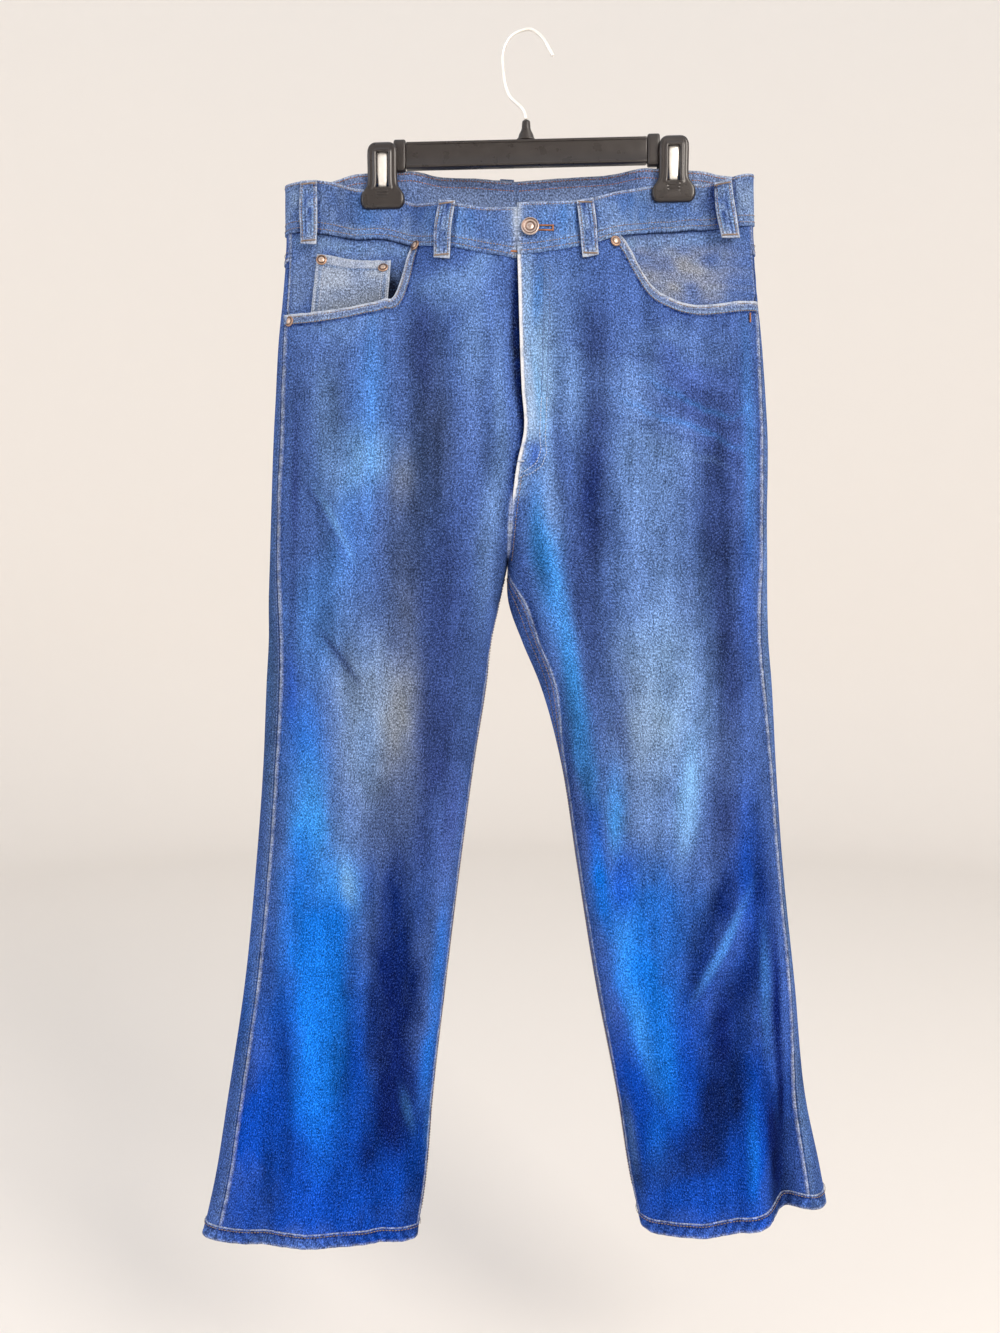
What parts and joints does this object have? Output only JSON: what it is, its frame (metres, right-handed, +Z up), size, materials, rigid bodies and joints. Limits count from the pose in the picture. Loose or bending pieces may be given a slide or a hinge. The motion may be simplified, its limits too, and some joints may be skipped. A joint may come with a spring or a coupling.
{
  "type": "bootcut jeans on a clip hanger",
  "caption": "Washed blue denim jeans with bootcut legs, hung by the waistband from a plain clip hanger, with scooped pockets, a coin pocket, belt loops and a buttoned fly.",
  "frame": {"origin": "the underside of the hanger hook's crown, where a rail carries it", "axes": "+Z up, -Y out of the jeans' front, +X towards the wearer's left"},
  "size_m": [0.5933, 0.1063, 1.1452],
  "materials": {
    "denim": "washed twill with pale worn edges and knees",
    "zip": "woven tape",
    "copper": "tarnished copper",
    "plastic": "moulded, satin black",
    "steel": "bright wire"
  },
  "bodies": {
    "root": {"front_right": "denim", "front_left": "denim", "back_right": "denim", "back_left": "denim", "yoke_right": "denim", "yoke_left": "denim", "waistband_right": "denim", "waistband_left": "denim", "pocket_facing_right": "denim", "pocket_facing_left": "denim", "back_pocket_right": "denim", "back_pocket_left": "denim", "coin_pocket": "denim", "fly_shield": "denim", "hem_right_front": "denim", "hem_right_back": "denim", "hem_left_front": "denim", "hem_left_back": "denim", "belt_loop_front_right": "denim", "belt_loop_side_right": "denim", "belt_loop_front_left": "denim", "belt_loop_side_left": "denim", "belt_loop_centre_back": "denim", "zip_chain": "zip", "button": "copper", "rivet_mouth_right": "copper", "rivet_mouth_left": "copper", "rivet_coin_outer": "copper", "rivet_coin_inner": "copper", "rivet_mouth_foot": "copper", "hook_neck": "plastic", "hanger_bar": "plastic", "bar_end_right": "plastic", "bar_end_left": "plastic", "clip_right_front_jaw": "plastic", "clip_right_back_jaw": "plastic", "clip_left_front_jaw": "plastic", "clip_left_back_jaw": "plastic", "hook_wire": "steel", "clip_right_spring": "steel", "clip_left_spring": "steel"}
  },
  "joints": []
}
